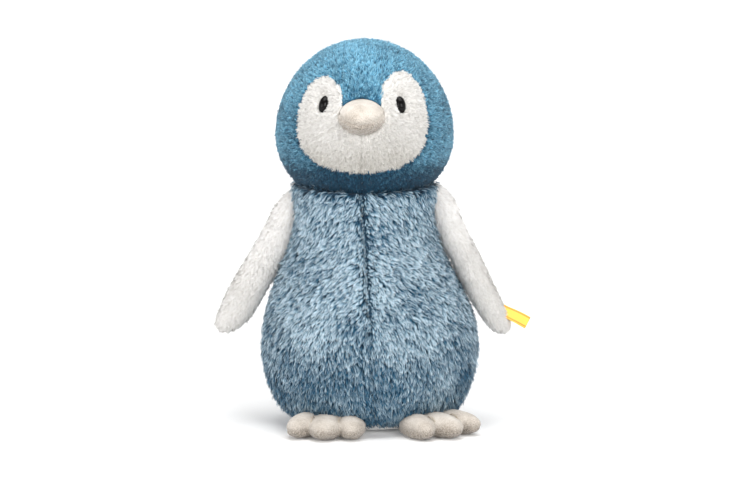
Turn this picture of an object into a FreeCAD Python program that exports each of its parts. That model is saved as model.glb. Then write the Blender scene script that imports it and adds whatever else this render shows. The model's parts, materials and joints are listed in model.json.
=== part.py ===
# Plush penguin, about 300 mm tall to the tips of its fur, on a flat base with its feet in front.
#
# Frame: millimetres, +Z up, the penguin faces -Y and its own left is +X.  The origin is the centre
# of the flat base, on the surface that the toy stands on.
#
# Every solid is a real piece of the toy: fabric panels with their pile, fibre filling, the pellet
# pouch, the two plastic eyes with their washers, the sewing threads and the woven label.  Fabric
# surfaces are drawn at the middle of the pile, so the fur tips stand about 2 mm further out.
import FreeCAD
import Part
import math
import os

Vector = FreeCAD.Vector

# ---------------------------------------------------------------- driving dimensions
BIG = 400.0                     # larger than the toy, for half spaces
JOINT_GAP = 0.5                 # clearance between pieces that move past each other
FOOT_GAP = 0.8                  # the same between the feet and the body, which they tip against
SLIVER = 0.5                    # cubic millimetres; smaller leftovers of a cut are dropped
LONG_PILE = 3.5                 # thickness of the blue plush, backing and pile
SHORT_PILE = 2.4                # thickness of the white wing plush
VELOUR = 1.4                    # thickness of the beige velour on beak and feet

# The toy leans a little: from the waist up, everything stands LEAN off the base's centre.
LEAN = -4.0

# Torso: half width, half depth and sideways place of its oval sections, at their heights.
TORSO_SECTIONS = [
    # z, half width, half depth, x
    (0.0, 40.0, 33.0, 0.0),
    (4.0, 53.0, 44.5, 0.0),
    (13.0, 64.5, 54.5, 0.0),
    (35.0, 76.5, 64.5, 0.0),
    (65.0, 80.5, 68.0, 0.0),
    (95.0, 75.0, 65.0, -1.0),
    (125.0, 62.5, 57.5, -3.0),
    (150.0, 53.5, 52.0, LEAN),
    (172.0, 52.0, 51.0, LEAN),
    (200.0, 52.5, 51.5, LEAN),
]
COLLAR_Z = 189.0                # highest part of the torso's rim, under the chin
BASE_THICK = 2.5                # base panel
BELLY_SEAM_TILT = -3.4          # degrees; the front seam runs to the toy's left on its way down
BELLY_SEAM_Z = 100.0            # where it crosses the middle

# Pellet pouch in the base of the torso.
POUCH_CENTRE = Vector(0, 0, 23)
POUCH_RADII = Vector(46, 38, 17)
POUCH_CLOTH = 1.0

# Head: a tall half ellipsoid above its centre, a flatter one below, and a ball that turns in the torso.
HEAD_CENTRE = Vector(LEAN, 0, 226)
HEAD_R = 67.0
HEAD_TOP = 72.5                 # height of the crown over the centre
HEAD_BOTTOM = 56.0              # depth of the chin's ellipsoid below the centre
NECK_BALL_R = 63.0
NOD_ROOM = 1.9                  # the socket's rim stands this far off the ball, so the chin can nod
NOD_ROOM_Z = 183.0              # and starts at this height
NECK_OPENING_R = 38.0           # opening in the head, hidden by the neck in every pose
NECK_OPENING_DROP = 40.0        # it is cut from this far below the head's centre
GUSSET_HALF = 14.5              # half width of the crown gusset
GUSSET_END = 24.0               # where the gusset ends above the head's centre, over the beak
NECK_THREAD_Z = 180.0
NECK_THREAD_OUT = 0.8           # from the ball's surface to the thread's middle
THREAD_R = 0.5

# Face: the white panel's edge from the chin, round the cheek and over the eye lobe, as distance
# from the head's middle and height over its centre.  The left lobe is sewn a little higher.
FACE_EDGE = [(0, -22), (18, -20.5), (33, -15.5), (44, -5.5), (47.5, 8), (46, 25),
             (38.5, 40), (28, 46.5), (18.5, 42), (14.5, 31)]
LOBE_STRETCH = {"left": 1.08, "right": 1.0}

# Beak: half an ellipsoid on the face, split along its mouth seam.
BEAK_CENTRE = HEAD_CENTRE + Vector(0, -62, 19)
BEAK_RADII = Vector(17.2, 32.5, 12.9)
BEAK_SEAM_DROP = 4.0            # mouth seam below the beak's middle

# Eyes: oval domes on a shank that a washer locks inside the head.
EYE_DIRECTION = Vector(29.0, -53.0, 26.6)
EYE_RADII = Vector(4.3, 4.4, 6.6)       # across, out of the head, up
EYE_SEAT = 64.5                 # distance of the dome's flat back from the head's centre
SHANK_R = 2.0
SHANK_LENGTH = 11.0
SHANK_SLACK = 0.05              # room between the shank and its washer
WASHER_R = 8.0
WASHER_THICK = 1.6
WASHER_SEAT = 60.8              # distance of the washer's inner face from the head's centre

# Wings: flattened paddles that hang from a pivot in the side seam.  The same cloth is stuffed
# rounder on the left, so that wing is narrower and thicker.
WING_PIVOT_X = {"left": 58.0, "right": -63.5}
WING_PIVOT_Z = {"left": 165.0, "right": 163.0}
WING_ANGLE = {"left": 26.6, "right": 29.5}      # out from hanging straight down
WING_PROFILE = [(0, 11.0), (22, 11.5), (52, 12.8), (80, 13.0), (93, 11.2)]
WING_ROOT_R = 11.0
WING_TIP = {"left": 102.0, "right": 104.0}      # from the pivot to the tip
WING_WIDTH = {"left": 0.82, "right": 1.0}       # width and thickness over the round outline
WING_THICKNESS = {"left": 0.74, "right": 0.64}
SHOULDER_CREASE = 2.3           # room between the wing's root and the torso, for its thread
WING_THREAD_R = 0.45
WING_THREAD_IN = 10.0           # the thread ring's plane, inwards from the pivot

# Label: a folded ribbon in the left wing's outer seam.
LABEL_STATION = 87.0            # along the wing, from the pivot
LABEL_START = 5.0               # out from the wing's middle line
LABEL_LENGTH = 22.5
LABEL_WIDTH = 10.0
LABEL_TILT = -38.0              # turned about its own length, its face up
LABEL_THICK = 0.8
LABEL_SLOPE = 29.5              # below the horizontal
LABEL_HINGE = 10.2              # it bends here, at the wing's edge, out from the middle line
LABEL_BEND = 50.0               # how far it bends, each way
LABEL_BEND_STEPS = 6            # positions tried each way, to keep it clear of the wing

# Feet: three toes each; position of the seam at the heel, and how far the toes turn out.
FOOT_HEEL = {"left": Vector(41, -29, 0), "right": Vector(-28, -34, 0)}
FOOT_TURN_OUT = {"left": 36.0, "right": 7.0}
TOES = [
    # offset across, turn, half width, length from the heel
    (-18.5, -13.0, 11.5, 44.0),
    (0.0, 0.0, 14.2, 49.0),
    (18.5, 13.0, 11.5, 44.0),
]
TOE_HEEL_SPREAD = 0.72          # share of the offset across that the toes keep at the heel
TOE_HALF_HEIGHT = 9.6
TOE_CENTRE_Z = 8.2
SOLE_SEAM_Z = 7.0
HEEL_FADE = 10.0                # the toes' ellipsoids reach this far behind the heel seam
TOE_WEB = Vector(10.5, -26, 9.0)        # middle of the thread loop between two toes
TOE_LOOP_R = 7.2

# Closing seam up the middle of the back.
CLOSING_STITCHES = 9
CLOSING_FROM_Z = 58.0
CLOSING_PITCH = 6.0
STITCH_HALF = 2.6
STITCH_RISE = 0.8               # each stitch slants up by this much on either side
STITCH_R = 0.45
STITCH_GAP = 0.15               # between the thread and the tilted panels

SIDES = {"left": 1, "right": -1}


# ---------------------------------------------------------------- helpers
def box(x0, x1, y0, y1, z0, z1):
    return Part.makeBox(x1 - x0, y1 - y0, z1 - z0, Vector(x0, y0, z0))


def half(axis, side, at=0.0):
    """The half space on one side of a plane square to an axis, as a large box."""
    lo, hi = [-BIG] * 3, [BIG] * 3
    i = "xyz".index(axis)
    if side > 0:
        lo[i] = at
    else:
        hi[i] = at
    return box(lo[0], hi[0], lo[1], hi[1], lo[2], hi[2])


def ellipsoid(centre, radii):
    """A sphere stretched to three radii."""
    shape = stretched(Part.makeSphere(1.0), radii.x, radii.y, radii.z)
    shape.translate(centre)
    return shape


def turned(shape, centre, axis, degrees):
    copy = shape.copy()
    copy.rotate(centre, axis, degrees)
    return copy


def stretched(shape, x, y, z):
    scale = FreeCAD.Matrix()
    scale.scale(x, y, z)
    return shape.transformGeometry(scale)


def mirrored(shape):
    return shape.mirror(Vector(0, 0, 0), Vector(1, 0, 0))


def kept_solids(shape):
    """The shape's solids without slivers, as one solid or a compound."""
    solids = [s for s in shape.Solids if s.Volume > SLIVER]
    return solids[0] if len(solids) == 1 else Part.makeCompound(solids)


# ---------------------------------------------------------------- torso
def torso_solid(inset):
    """The torso's lofted oval body, its sides moved in by inset."""
    wires = []
    for z, half_width, half_depth, x in TORSO_SECTIONS:
        oval = Part.Ellipse(Vector(x, 0, z), half_width - inset, half_depth - inset)
        wires.append(Part.Wire([oval.toShape()]))
    return Part.makeLoft(wires, True, False)


def wing_pivot(side):
    return Vector(WING_PIVOT_X[side], 0, WING_PIVOT_Z[side])


def shoulder_dimples():
    return [Part.makeSphere(WING_ROOT_R + SHOULDER_CREASE, wing_pivot(side)) for side in SIDES]


def torso_pieces():
    outer = torso_solid(0)
    inner = torso_solid(LONG_PILE)
    socket = Part.makeSphere(NECK_BALL_R + JOINT_GAP, HEAD_CENTRE)
    rim = Part.makeSphere(NECK_BALL_R + NOD_ROOM, HEAD_CENTRE).common(half("z", 1, NOD_ROOM_Z))
    cuts = [socket, rim, neck_thread(JOINT_GAP), half("z", 1, COLLAR_Z)] + shoulder_dimples()
    above_base = half("z", 1, BASE_THICK)
    skin = outer.cut(inner).common(above_base).cut(cuts)
    pieces = {"base_panel": outer.common(half("z", -1, BASE_THICK))}
    for side, sign in SIDES.items():
        front_half = turned(half("x", sign), Vector(0, 0, BELLY_SEAM_Z), Vector(0, 1, 0), BELLY_SEAM_TILT)
        pieces["belly_panel_" + side] = skin.common(half("y", -1)).common(front_half)
        pieces["back_panel_" + side] = skin.common(half("y", 1)).common(half("x", sign))
    pouch = ellipsoid(POUCH_CENTRE, POUCH_RADII)
    cloth = Vector(POUCH_CLOTH, POUCH_CLOTH, POUCH_CLOTH)
    pellets = ellipsoid(POUCH_CENTRE, POUCH_RADII - cloth)
    pieces["body_filling"] = inner.common(above_base).cut(cuts + [pouch])
    pieces["pellet_pouch"] = pouch.cut(pellets)
    pieces["pellet_fill"] = pellets
    pieces["closing_thread"] = closing_stitches(outer)
    return pieces


def closing_stitches(torso):
    """Short hand stitches across the middle back seam, each lying on the panels."""
    stitches = []
    for i in range(CLOSING_STITCHES):
        z = CLOSING_FROM_Z + i * CLOSING_PITCH
        ray = Part.makeLine(Vector(0, 0, z), Vector(0, BIG, z))
        surface_y = torso.common(ray).BoundBox.YMax
        start = Vector(-STITCH_HALF, surface_y + STITCH_R + STITCH_GAP, z - STITCH_RISE)
        run = Vector(2 * STITCH_HALF, 0, 2 * STITCH_RISE)
        stitches.append(Part.makeCylinder(STITCH_R, run.Length, start, run))
    return Part.makeCompound(stitches)


# ---------------------------------------------------------------- head
def head_solid(inset):
    """Crown, chin and neck ball in one, moved in by inset."""
    r = HEAD_R - inset
    middle = Vector(0, 0, 0)
    crown = ellipsoid(middle, Vector(r, r, HEAD_TOP - inset)).common(half("z", 1))
    chin = ellipsoid(middle, Vector(r, r, HEAD_BOTTOM - inset)).common(half("z", -1))
    ball = Part.makeSphere(NECK_BALL_R - inset).common(half("z", -1))
    solid = chin.fuse(ball).fuse(crown)
    solid.translate(HEAD_CENTRE)
    return solid


def face_prism(side):
    """The outline of one white face panel, pushed through the front of the head."""
    points = [Vector(x, 0, z * (LOBE_STRETCH[side] if z > 0 else 1)) for x, z in FACE_EDGE]
    edge = Part.BSplineCurve()
    edge.interpolate(points)
    last = points[-1]
    corners = [last, Vector(last.x, 0, GUSSET_END), Vector(0, 0, GUSSET_END), points[0]]
    lines = [Part.makeLine(a, b) for a, b in zip(corners, corners[1:])]
    prism = Part.Face(Part.Wire([edge.toShape()] + lines)).extrude(Vector(0, -BIG, 0))
    if side == "right":
        prism = mirrored(prism)
    prism.translate(HEAD_CENTRE)
    return prism


def eye_frame(shape, sign):
    """Moves a shape drawn with the eye's axis along -Y, at the head's centre, to one eye."""
    n = EYE_DIRECTION
    up = math.degrees(math.atan2(n.z, math.hypot(n.x, n.y)))
    across = math.degrees(math.atan2(n.x, -n.y))
    shape = turned(shape, Vector(0, 0, 0), Vector(1, 0, 0), -up)
    shape = turned(shape, Vector(0, 0, 0), Vector(0, 0, 1), sign * across)
    shape.translate(HEAD_CENTRE)
    return shape


def eye_solid(sign):
    hemisphere = Part.makeSphere(1.0, Vector(0, 0, 0), Vector(0, -1, 0), 0, 90, 360)
    dome = stretched(hemisphere, EYE_RADII.x, EYE_RADII.y, EYE_RADII.z)
    dome.translate(Vector(0, -EYE_SEAT, 0))
    shank = Part.makeCylinder(SHANK_R, SHANK_LENGTH, Vector(0, -EYE_SEAT, 0), Vector(0, 1, 0))
    return eye_frame(dome.fuse(shank), sign)


def eye_seat(sign):
    """The room an eye takes in the skin: a dent in the pile and a hole for the shank."""
    outline = Part.Wire([Part.Ellipse(Vector(0, 0, 0), EYE_RADII.z, EYE_RADII.x).toShape()])
    dent = Part.Face(outline)
    dent.rotate(Vector(0, 0, 0), Vector(0, 0, 1), 90)
    dent.rotate(Vector(0, 0, 0), Vector(1, 0, 0), 90)
    dent = dent.extrude(Vector(0, -BIG, 0))
    dent.translate(Vector(0, -EYE_SEAT, 0))
    hole = Part.makeCylinder(SHANK_R, SHANK_LENGTH, Vector(0, -EYE_SEAT, 0), Vector(0, 1, 0))
    return [eye_frame(dent, sign), eye_frame(hole, sign)]


def washer_solid(sign):
    disc = Part.makeCylinder(WASHER_R, WASHER_THICK, Vector(0, -WASHER_SEAT, 0), Vector(0, -1, 0))
    hole = Part.makeCylinder(SHANK_R + SHANK_SLACK, BIG, Vector(0, 0, 0), Vector(0, -1, 0))
    return eye_frame(disc.cut(hole), sign)


def head_pieces():
    outer, inner = head_solid(0), head_solid(LONG_PILE)
    beak = ellipsoid(BEAK_CENTRE, BEAK_RADII)
    beak_inner = ellipsoid(BEAK_CENTRE, BEAK_RADII - Vector(VELOUR, VELOUR, VELOUR))
    opening = Part.makeCylinder(NECK_OPENING_R, BIG, HEAD_CENTRE - Vector(0, 0, NECK_OPENING_DROP + BIG))
    eyes = {side: eye_solid(sign) for side, sign in SIDES.items()}
    washers = {side: washer_solid(sign) for side, sign in SIDES.items()}
    seats = {side: eye_seat(sign) for side, sign in SIDES.items()}
    skin = outer.cut(inner).cut(opening).cut(beak)

    strip_low, strip_high = HEAD_CENTRE.x - GUSSET_HALF, HEAD_CENTRE.x + GUSSET_HALF
    gusset_run = box(strip_low, strip_high, 0, BIG, 0, BIG)
    gusset_run = gusset_run.fuse(box(strip_low, strip_high, -BIG, 0, HEAD_CENTRE.z + GUSSET_END, BIG))
    prisms = {side: face_prism(side) for side in SIDES}
    pieces = {"crown_gusset": kept_solids(skin.common(gusset_run))}
    sides = skin.cut([gusset_run] + list(prisms.values()))
    for side, sign in SIDES.items():
        face = kept_solids(skin.common(prisms[side]).cut(gusset_run))
        pieces["face_panel_" + side] = kept_solids(face.cut(seats[side][0]).cut(seats[side][1]))
        pieces["head_panel_" + side] = kept_solids(sides.common(half("x", sign, HEAD_CENTRE.x)))
        pieces["eye_" + side] = eyes[side]
        pieces["eye_washer_" + side] = washers[side]

    mouth_z = BEAK_CENTRE.z - BEAK_SEAM_DROP
    beak_skin = beak.cut([beak_inner, inner])
    pieces["beak_upper"] = kept_solids(beak_skin.common(half("z", 1, mouth_z)))
    pieces["beak_lower"] = kept_solids(beak_skin.common(half("z", -1, mouth_z)))
    pieces["beak_filling"] = kept_solids(beak_inner.cut(inner))
    through_neck = outer.common(opening)
    filling = inner.fuse(through_neck)
    pieces["head_filling"] = kept_solids(filling.cut(list(eyes.values()) + list(washers.values())))
    return pieces


def neck_thread(room=0):
    """The thread that draws head and torso together, a ring round the neck ball, with room about it."""
    reach = NECK_BALL_R + NECK_THREAD_OUT
    drop = HEAD_CENTRE.z - NECK_THREAD_Z
    ring_r = math.sqrt(reach ** 2 - drop ** 2)
    return Part.makeTorus(ring_r, THREAD_R + room, Vector(HEAD_CENTRE.x, 0, NECK_THREAD_Z))


# ---------------------------------------------------------------- wings
def wing_profile(side, inset):
    """Half the outline of a paddle that hangs from the origin: its root's cap and its edge to the tip."""
    root = WING_ROOT_R - inset
    cap_middle = Vector(root * math.sqrt(0.5), 0, root * math.sqrt(0.5))
    cap = Part.Arc(Vector(0, 0, root), cap_middle, Vector(root, 0, 0))
    points = [Vector(r - inset, 0, -s) for s, r in WING_PROFILE] + [Vector(0, 0, -WING_TIP[side] + inset)]
    edge = Part.BSplineCurve()
    edge.interpolate(Points=points, InitialTangent=Vector(0, 0, -1), FinalTangent=Vector(-1, 0, 0))
    return [cap.toShape(), edge.toShape()]


def paddle(side, edges, degrees):
    """Turns a closed outline about Z from +X, and flattens the result."""
    face = Part.Face(Part.Wire(Part.__sortEdges__(edges)))
    round_solid = face.revolve(Vector(0, 0, 0), Vector(0, 0, 1), degrees)
    return stretched(round_solid, WING_WIDTH[side], WING_THICKNESS[side], 1)


def wing_solid(side, inset):
    axis = Part.makeLine(Vector(0, 0, WING_ROOT_R - inset), Vector(0, 0, -WING_TIP[side] + inset))
    return paddle(side, wing_profile(side, inset) + [axis], 360)


def wing_skin(side, degrees):
    """Half of the wing's skin, on one side of its edge seam."""
    root = Part.makeLine(Vector(0, 0, WING_ROOT_R), Vector(0, 0, WING_ROOT_R - SHORT_PILE))
    tip = Part.makeLine(Vector(0, 0, -WING_TIP[side]), Vector(0, 0, -WING_TIP[side] + SHORT_PILE))
    return paddle(side, wing_profile(side, 0) + [tip] + wing_profile(side, SHORT_PILE) + [root], degrees)


def hung(shape, side):
    """Turns a shape drawn hanging from the origin out to its wing's angle, at the wing's pivot."""
    sign = SIDES[side]
    shape = turned(shape, Vector(0, 0, 0), Vector(0, 1, 0), -sign * WING_ANGLE[side])
    shape.translate(wing_pivot(side))
    return shape


def wing_thread(side):
    """The thread that sews a wing's root to the side seam, a ring in the crease round the root."""
    reach = WING_ROOT_R + SHOULDER_CREASE / 2
    ring = Part.makeTorus(math.sqrt(reach ** 2 - WING_THREAD_IN ** 2), WING_THREAD_R,
                          Vector(0, 0, 0), Vector(1, 0, 0))
    ring.translate(wing_pivot(side) - Vector(SIDES[side] * WING_THREAD_IN, 0, 0))
    return ring


def wing_pieces(side):
    return {
        "wing_front_" + side: hung(wing_skin(side, -180), side),
        "wing_back_" + side: hung(wing_skin(side, 180), side),
        "wing_filling_" + side: hung(wing_solid(side, SHORT_PILE), side),
        "wing_thread_" + side: wing_thread(side),
    }


def label_solid():
    """The woven label: a ribbon folded in two, at the seam on the left wing's outer edge.

    Its root is cut back to clear the wing at every angle that it bends to.
    """
    wing = hung(wing_solid("left", -JOINT_GAP / 2), "left")
    angle = math.radians(WING_ANGLE["left"])
    along = Vector(math.sin(angle), 0, -math.cos(angle))
    outward = Vector(math.cos(angle), 0, math.sin(angle))
    root = wing_pivot("left") + along * LABEL_STATION + outward * LABEL_START
    ribbon = box(0, LABEL_LENGTH, -LABEL_THICK / 2, LABEL_THICK / 2, -LABEL_WIDTH / 2, LABEL_WIDTH / 2)
    ribbon = turned(ribbon, Vector(0, 0, 0), Vector(1, 0, 0), LABEL_TILT)
    ribbon = turned(ribbon, Vector(0, 0, 0), Vector(0, 1, 0), LABEL_SLOPE)
    ribbon.translate(root)
    hinge = wing_pivot("left") + along * LABEL_STATION + outward * LABEL_HINGE
    for step in range(-LABEL_BEND_STEPS, LABEL_BEND_STEPS + 1):
        ribbon = ribbon.cut(turned(wing, hinge, along, step * LABEL_BEND / LABEL_BEND_STEPS))
    return kept_solids(ribbon)


# ---------------------------------------------------------------- feet
def foot_solid(inset):
    """Three toes that fan forward (-Y) from a heel seam at the origin, flat below, moved in by inset."""
    toes = []
    for across, turn, half_width, length in TOES:
        half_length = (length + HEEL_FADE) / 2
        toe = ellipsoid(Vector(0, -(length - HEEL_FADE) / 2, TOE_CENTRE_Z),
                        Vector(half_width - inset, half_length - inset, TOE_HALF_HEIGHT - inset))
        toe = turned(toe, Vector(0, 0, 0), Vector(0, 0, 1), turn)
        toe.translate(Vector(across * TOE_HEEL_SPREAD, 0, 0))
        toes.append(toe)
    return toes[0].fuse(toes[1:]).common(half("z", 1, inset)).common(half("y", -1, 0))


def placed_foot(shape, side):
    shape = turned(shape, Vector(0, 0, 0), Vector(0, 0, 1), SIDES[side] * FOOT_TURN_OUT[side])
    shape.translate(FOOT_HEEL[side])
    return shape


def toe_threads():
    """The pulled stitches that divide the toes, a small loop through each web."""
    loops = []
    for sign in SIDES.values():
        loop = Part.makeTorus(TOE_LOOP_R, THREAD_R, Vector(0, 0, 0), Vector(1, 0, 0))
        loop.translate(Vector(sign * TOE_WEB.x, TOE_WEB.y, TOE_WEB.z))
        loops.append(loop)
    return Part.makeCompound(loops)


def foot_pieces(side, torso_clear):
    outer = placed_foot(foot_solid(0), side).cut(torso_clear)
    inner = placed_foot(foot_solid(VELOUR), side).cut(torso_clear)
    threads = placed_foot(toe_threads(), side)
    skin = outer.cut(inner).cut(threads)
    inner = inner.cut(threads)
    return {
        "foot_top_" + side: kept_solids(skin.common(half("z", 1, SOLE_SEAM_Z))),
        "foot_sole_" + side: kept_solids(skin.common(half("z", -1, SOLE_SEAM_Z))),
        "foot_filling_" + side: kept_solids(inner),
        "toe_thread_" + side: threads,
    }


# ---------------------------------------------------------------- export
def main():
    os.makedirs("parts", exist_ok=True)
    pieces = torso_pieces()
    pieces.update(head_pieces())
    pieces["neck_thread"] = neck_thread()
    pieces["woven_label"] = label_solid()
    torso_clear = torso_solid(-FOOT_GAP)
    for side in SIDES:
        pieces.update(wing_pieces(side))
        pieces.update(foot_pieces(side, torso_clear))
    for name, shape in sorted(pieces.items()):
        shape.exportStep("parts/" + name + ".step")
        print("%-20s solids %d  volume %8.0f  %s" % (
            name, len(shape.Solids), shape.Volume, "valid" if shape.isValid() else "NOT VALID"))


main()
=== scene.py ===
import json
import math

import bpy
import numpy as np
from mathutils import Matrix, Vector
from mathutils.kdtree import KDTree


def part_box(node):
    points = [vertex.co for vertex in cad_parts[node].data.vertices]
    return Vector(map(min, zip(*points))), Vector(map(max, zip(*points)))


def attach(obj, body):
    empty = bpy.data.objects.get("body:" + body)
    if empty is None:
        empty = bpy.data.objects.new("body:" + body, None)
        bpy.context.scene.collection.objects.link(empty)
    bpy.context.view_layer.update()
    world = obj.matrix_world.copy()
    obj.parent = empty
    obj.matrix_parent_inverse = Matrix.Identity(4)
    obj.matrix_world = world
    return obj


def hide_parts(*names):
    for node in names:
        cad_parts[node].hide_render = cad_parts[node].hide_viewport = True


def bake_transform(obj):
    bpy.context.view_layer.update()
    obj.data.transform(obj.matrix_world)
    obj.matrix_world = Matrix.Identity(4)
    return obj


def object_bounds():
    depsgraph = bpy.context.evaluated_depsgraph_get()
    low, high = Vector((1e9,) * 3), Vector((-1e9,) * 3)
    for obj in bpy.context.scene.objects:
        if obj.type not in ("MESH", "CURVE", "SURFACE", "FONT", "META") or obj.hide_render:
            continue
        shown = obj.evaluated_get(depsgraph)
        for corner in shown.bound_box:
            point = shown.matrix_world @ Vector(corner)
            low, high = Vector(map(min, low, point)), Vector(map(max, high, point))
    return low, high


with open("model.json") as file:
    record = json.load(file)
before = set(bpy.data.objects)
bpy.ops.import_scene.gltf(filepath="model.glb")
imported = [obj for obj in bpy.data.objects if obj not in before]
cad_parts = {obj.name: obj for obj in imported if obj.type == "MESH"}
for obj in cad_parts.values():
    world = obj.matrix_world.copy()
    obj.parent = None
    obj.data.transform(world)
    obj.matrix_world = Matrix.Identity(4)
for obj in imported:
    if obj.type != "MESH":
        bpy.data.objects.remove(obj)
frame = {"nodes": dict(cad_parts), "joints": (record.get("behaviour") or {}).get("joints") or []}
cad_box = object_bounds()

MM = 0.001
SIDES = {"left": 1, "right": -1}
JOINTS = {joint["name"]: joint for joint in frame["joints"]}


# ---------------------------------------------------------------- places taken from the frame
def node_box(*nodes):
    """Lowest and highest corner round several CAD nodes, as arrays in metres."""
    corners = [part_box(n) for n in nodes]
    low = np.min([np.array(c[0]) for c in corners], axis=0)
    high = np.max([np.array(c[1]) for c in corners], axis=0)
    return low, high


HEAD_NODES = ["head_panel_left", "head_panel_right", "crown_gusset", "face_panel_left", "face_panel_right"]
TORSO_NODES = ["belly_panel_left", "belly_panel_right", "back_panel_left", "back_panel_right"]
head_low, head_high = node_box(*HEAD_NODES)
torso_low, torso_high = node_box(*TORSO_NODES)
beak_low, beak_high = node_box("beak_upper", "beak_lower")
HEAD_CENTRE = np.array(JOINTS["head_nod"]["pos_m"])
HEAD_R = (head_high[0] - head_low[0]) / 2
BEAK_CENTRE = (beak_low + beak_high) / 2
BEAK_HALF = (beak_high - beak_low) / 2
MOUTH_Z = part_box("beak_upper")[0].z
NECK_Z = torso_high[2]


# ---------------------------------------------------------------- small geometry tools
def unit(v):
    return v / np.maximum(np.linalg.norm(v, axis=-1, keepdims=True), 1e-12)


def smoothstep(low, high, x):
    t = np.clip((x - low) / (high - low), 0, 1)
    return t * t * (3 - 2 * t)


def waves(points, size, seed):
    """A smooth random field from -1 to 1 over points, with features about size metres across."""
    rng = np.random.default_rng(seed)
    total = np.zeros(len(points))
    for _ in range(7):
        direction = unit(rng.normal(size=3))
        length = size * rng.uniform(1.1, 2.6)
        total += np.sin(points @ direction * (2 * math.pi / length) + rng.uniform(0, 6.3))
    return np.clip(total / 4.2, -1, 1)


def add_object(name, mesh, material):
    mesh.materials.append(material)
    obj = bpy.data.objects.new(name, mesh)
    bpy.context.scene.collection.objects.link(obj)
    return obj


def mesh_from(name, points, faces, material):
    mesh = bpy.data.meshes.new(name)
    mesh.from_pydata([tuple(p) for p in points], [], faces)
    mesh.shade_smooth()
    return add_object(name, mesh, material)


def closed_tube_faces(rings, around):
    """Faces of a tube that is closed by a point at each end.

    Its points are the rings in order, of around points each, then the first end and the last end.
    """
    faces = []
    for start in range(0, (rings - 1) * around, around):
        for j in range(around):
            k = (j + 1) % around
            faces.append((start + j, start + k, start + around + k, start + around + j))
    last_ring, first_end, last_end = (rings - 1) * around, rings * around, rings * around + 1
    for j in range(around):
        k = (j + 1) % around
        faces.append((k, j, first_end))
        faces.append((last_ring + j, last_ring + k, last_end))
    return faces


def coordinates(mesh, what="co"):
    values = np.empty(len(mesh.vertices) * 3, np.float64)
    mesh.vertices.foreach_get(what, values)
    return values.reshape(-1, 3)


def move_points(obj, points):
    obj.data.vertices.foreach_set("co", points.astype(np.float32).ravel())
    obj.data.update()


def apply_modifiers(obj):
    """Replaces an object's mesh by the result of its modifiers."""
    bpy.context.view_layer.update()
    graph = bpy.context.evaluated_depsgraph_get()
    result = bpy.data.meshes.new_from_object(obj.evaluated_get(graph))
    obj.modifiers.clear()
    old = obj.data
    obj.data = result
    bpy.data.meshes.remove(old)
    obj.data.shade_smooth()


def soft_copy(name, nodes, voxel, rounds, material):
    """A sewn piece made from CAD solids: remeshed evenly in voxels of that size, its edges rounded off."""
    verts, faces = [], []
    for node in nodes:
        mesh = frame["nodes"][node].data
        start = len(verts)
        verts += [tuple(v.co) for v in mesh.vertices]
        faces += [tuple(start + i for i in p.vertices) for p in mesh.polygons]
    obj = mesh_from(name, verts, faces, material)
    remesh = obj.modifiers.new("even", "REMESH")
    remesh.mode = "VOXEL"
    remesh.voxel_size = voxel
    smooth = obj.modifiers.new("soft", "SMOOTH")
    smooth.factor = 0.5
    smooth.iterations = rounds
    apply_modifiers(obj)
    return obj


# ---------------------------------------------------------------- materials
def new_material(name):
    material = bpy.data.materials.new(name)
    material.use_nodes = True
    tree = material.node_tree
    return material, tree, tree.nodes["Principled BSDF"]


def node(tree, kind, **inputs):
    made = tree.nodes.new(kind)
    for key, value in inputs.items():
        made.inputs[key.replace("_", " ")].default_value = value
    return made


def ramp(tree, source, stops):
    """A colour ramp over stops of (position, linear colour)."""
    made = tree.nodes.new("ShaderNodeValToRGB")
    elements = made.color_ramp.elements
    while len(elements) < len(stops):
        elements.new(0.5)
    for element, (position, colour) in zip(elements, stops):
        element.position = position
        element.color = (*colour, 1)
    tree.links.new(source, made.inputs["Fac"])
    return made.outputs["Color"]


def mixed(tree, amount, a, b):
    made = tree.nodes.new("ShaderNodeMix")
    made.data_type = "RGBA"
    tree.links.new(amount, made.inputs["Factor"])
    for source, socket in ((a, "A"), (b, "B")):
        target = [s for s in made.inputs if s.name == socket and s.type == "RGBA"][0]
        tree.links.new(source, target)
    return [s for s in made.outputs if s.type == "RGBA"][0]


def srgb(r, g, b):
    """An sRGB colour from 0 to 255 as linear light."""
    return tuple((c / 255 / 12.92) if c <= 10 else ((c / 255 + 0.055) / 1.055) ** 2.4 for c in (r, g, b))


def hair_material(name, dark, light, sheen=0.05):
    """Pile: each strand runs from root to tip through colour stops, between a dark and a light strand."""
    material, tree, shader = new_material(name)
    uv = tree.nodes.new("ShaderNodeUVMap")
    uv.uv_map = "OFBake"
    parts = tree.nodes.new("ShaderNodeSeparateXYZ")
    tree.links.new(uv.outputs["UV"], parts.inputs[0])
    low = ramp(tree, parts.outputs["Y"], dark)
    high = ramp(tree, parts.outputs["Y"], light)
    colour = mixed(tree, parts.outputs["X"], low, high)
    tree.links.new(colour, shader.inputs["Base Color"])
    shader.inputs["Roughness"].default_value = 0.75
    shader.inputs["Specular IOR Level"].default_value = 0.25
    shader.inputs["Sheen Weight"].default_value = sheen
    shader.inputs["Sheen Roughness"].default_value = 0.5
    return material


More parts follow.
